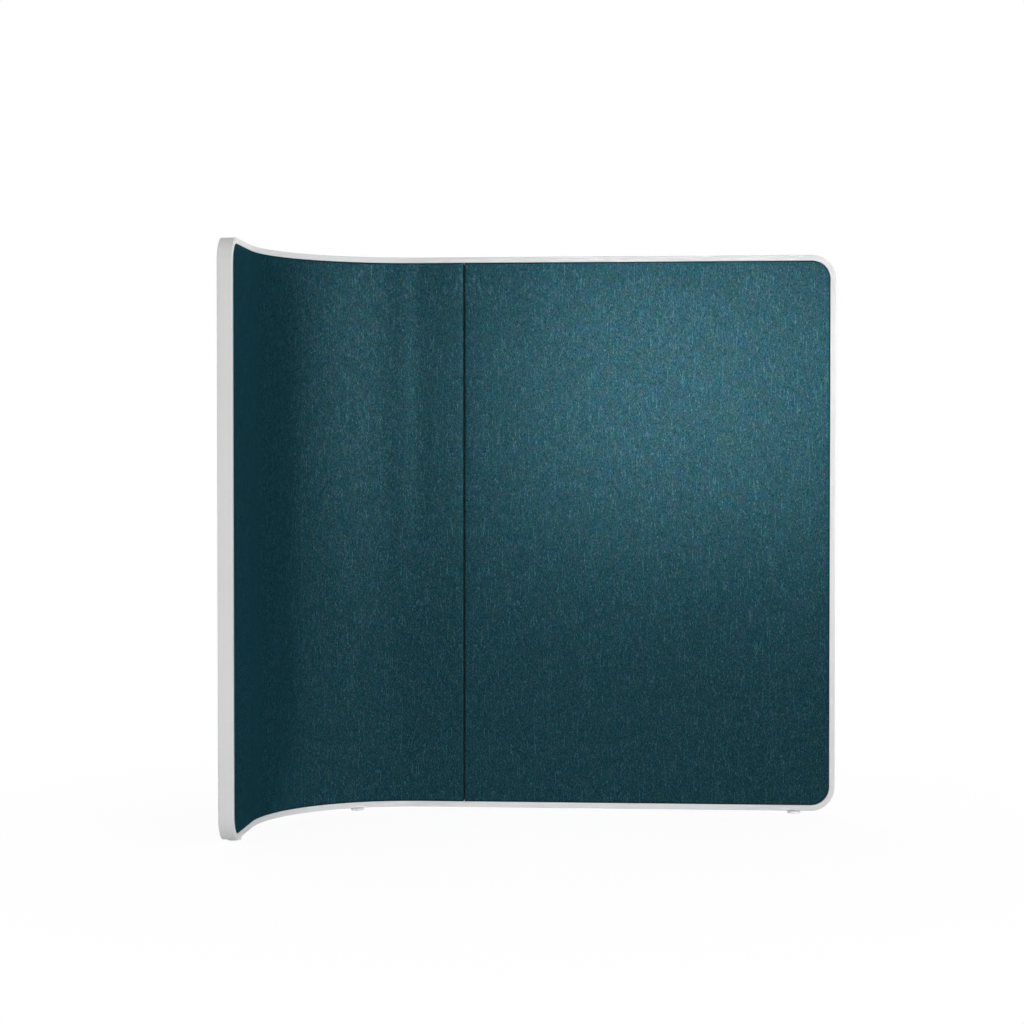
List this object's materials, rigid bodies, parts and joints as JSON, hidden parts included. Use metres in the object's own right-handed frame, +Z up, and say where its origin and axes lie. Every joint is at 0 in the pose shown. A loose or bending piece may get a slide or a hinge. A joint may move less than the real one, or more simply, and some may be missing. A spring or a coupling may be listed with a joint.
{
  "type": "divider screen",
  "caption": "Free-standing upholstered office screen in a slim metal rim, flat at one end and sweeping through a quarter turn to a short leg, on screw-in levelling glides.",
  "frame": {"origin": "on the floor, at the middle of the bounding box in plan", "axes": "+X along the flat module to its free end, +Y to the back (the outside of the bend), +Z up"},
  "size_m": [1.546, 0.676, 1.5],
  "materials": {
    "frame_powder_coat": "fine matt powder coat",
    "anodised_aluminium": "black anodised",
    "black_steel": "black oxide",
    "zinc_plated_steel": "bright zinc",
    "core_board": "raw hardboard",
    "backing_board": "raw hardboard",
    "woven_fabric": "woven melange wool",
    "panel_foam": "open-cell foam",
    "touch_fastener": "hook and loop",
    "glide_plastic": "moulded"
  },
  "bodies": {
    "screen": {"flat_top_rail": "frame_powder_coat", "flat_bottom_rail": "frame_powder_coat", "flat_end_upright": "frame_powder_coat", "flat_top_corner": "frame_powder_coat", "flat_bottom_corner": "frame_powder_coat", "curved_top_rail": "frame_powder_coat", "curved_bottom_rail": "frame_powder_coat", "curved_end_upright": "frame_powder_coat", "curved_top_corner": "frame_powder_coat", "curved_bottom_corner": "frame_powder_coat", "seam_mullion": "anodised_aluminium", "corner_grub_screws": "zinc_plated_steel", "seam_bracket_top": "zinc_plated_steel", "seam_bracket_bottom": "zinc_plated_steel", "splice_bar_top": "zinc_plated_steel", "splice_bar_bottom": "zinc_plated_steel", "seam_screws": "zinc_plated_steel", "rivet_nuts": "zinc_plated_steel", "mullion_pins": "black_steel", "flat_core_board": "core_board", "curved_core_board": "core_board", "flat_front_cover": "woven_fabric", "flat_front_foam": "panel_foam", "flat_front_backing": "backing_board", "flat_front_strips": "touch_fastener", "flat_back_cover": "woven_fabric", "flat_back_foam": "panel_foam", "flat_back_backing": "backing_board", "flat_back_strips": "touch_fastener", "curved_inner_cover": "woven_fabric", "curved_inner_foam": "panel_foam", "curved_inner_backing": "backing_board", "curved_inner_strips": "touch_fastener", "curved_outer_cover": "woven_fabric", "curved_outer_foam": "panel_foam", "curved_outer_backing": "backing_board", "curved_outer_strips": "touch_fastener"},
    "right_stud": {"right_glide_stud": "zinc_plated_steel"},
    "right_pad": {"right_glide_pad": "glide_plastic"},
    "bend_stud": {"bend_glide_stud": "zinc_plated_steel"},
    "bend_pad": {"bend_glide_pad": "glide_plastic"},
    "leg_stud": {"leg_glide_stud": "zinc_plated_steel"},
    "leg_pad": {"leg_glide_pad": "glide_plastic"}
  },
  "joints": [
    {"name": "right_glide_travel", "type": "slide", "parent": "screen", "child": "right_stud", "axis": [0, 0, -1], "range_m": [0, 0.006]},
    {"name": "right_glide_turn", "type": "hinge", "parent": "right_stud", "child": "right_pad", "pos_m": [0.665, 0.319, 0.004], "axis": [0, 0, -1], "range_deg": [0, 1728]},
    {"name": "bend_glide_travel", "type": "slide", "parent": "screen", "child": "bend_stud", "axis": [0, 0, -1], "range_m": [0, 0.006]},
    {"name": "bend_glide_turn", "type": "hinge", "parent": "bend_stud", "child": "bend_pad", "pos_m": [-0.51612, 0.2804, 0.004], "axis": [0, 0, -1], "range_deg": [0, 1728]},
    {"name": "leg_glide_travel", "type": "slide", "parent": "screen", "child": "leg_stud", "axis": [0, 0, -1], "range_m": [0, 0.006]},
    {"name": "leg_glide_turn", "type": "hinge", "parent": "leg_stud", "child": "leg_pad", "pos_m": [-0.754, -0.23, 0.004], "axis": [0, 0, -1], "range_deg": [0, 1728]}
  ],
  "couplings": [
    {"joint": "right_glide_travel", "follows": "right_glide_turn", "m_per_rad": 0.00019894},
    {"joint": "bend_glide_travel", "follows": "bend_glide_turn", "m_per_rad": 0.00019894},
    {"joint": "leg_glide_travel", "follows": "leg_glide_turn", "m_per_rad": 0.00019894}
  ]
}
